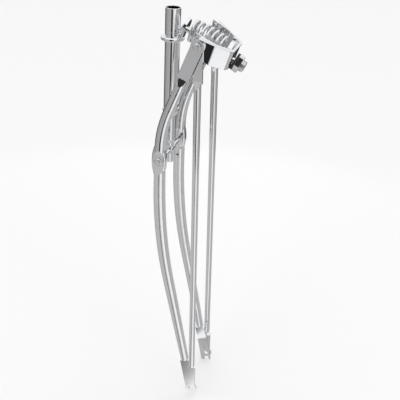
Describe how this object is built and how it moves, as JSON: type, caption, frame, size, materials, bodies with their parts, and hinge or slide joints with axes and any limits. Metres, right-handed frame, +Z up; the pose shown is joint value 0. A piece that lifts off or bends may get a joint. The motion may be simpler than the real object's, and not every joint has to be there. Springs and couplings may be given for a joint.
{
  "type": "bicycle suspension fork",
  "caption": "Springer type bicycle fork: curved legs with straight struts pivot at the knee and push a yoke along a sprung bolt held by a steerer bracket.",
  "frame": {"origin": "on the steerer axis at the crown shoulder, where the lower bearing seats", "axes": "+X towards the spring and the direction of travel, +Z up the steerer, so +Y is the rider's left"},
  "size_m": [0.1466, 0.1272, 0.7865],
  "materials": {
    "chrome": "polished",
    "bolt_chrome": "polished",
    "spring_chrome": "polished",
    "rubber": "matt"
  },
  "bodies": {
    "steerer": {"steerer": "chrome", "crown_stem": "chrome", "pivot_tube": "chrome", "spring_bracket": "chrome", "spring_bolt": "bolt_chrome", "bumper_washer": "rubber", "spring_nut": "bolt_chrome", "lock_nut": "bolt_chrome", "spring": "spring_chrome"},
    "legs": {"leg_right": "chrome", "dropout_right": "chrome", "strut_right": "chrome", "strut_tip_right": "chrome", "leg_left": "chrome", "dropout_left": "chrome", "strut_left": "chrome", "strut_tip_left": "chrome", "top_bolt_right": "bolt_chrome", "top_nut_right": "bolt_chrome", "knee_bolt_right": "bolt_chrome", "knee_washer_right": "bolt_chrome", "top_bolt_left": "bolt_chrome", "top_nut_left": "bolt_chrome", "knee_bolt_left": "bolt_chrome", "knee_washer_left": "bolt_chrome"},
    "yoke": {"yoke": "chrome", "spring_seat_front": "chrome"}
  },
  "joints": [
    {"name": "knee", "type": "hinge", "parent": "steerer", "child": "legs", "pos_m": [0, 0, -0.078], "axis": [0, -1, 0], "range_deg": [0, 5], "stiffness_Nm_per_rad": 60, "springref_deg": -2.86, "deforming": ["spring"]},
    {"name": "yoke_hinge", "type": "hinge", "parent": "legs", "child": "yoke", "pos_m": [0.059, 0, 0.128], "axis": [0, -1, 0], "range_deg": [-0.5, 0]}
  ],
  "couplings": [
    {"joint": "yoke_hinge", "follows": "knee", "ratio": -0.09}
  ]
}
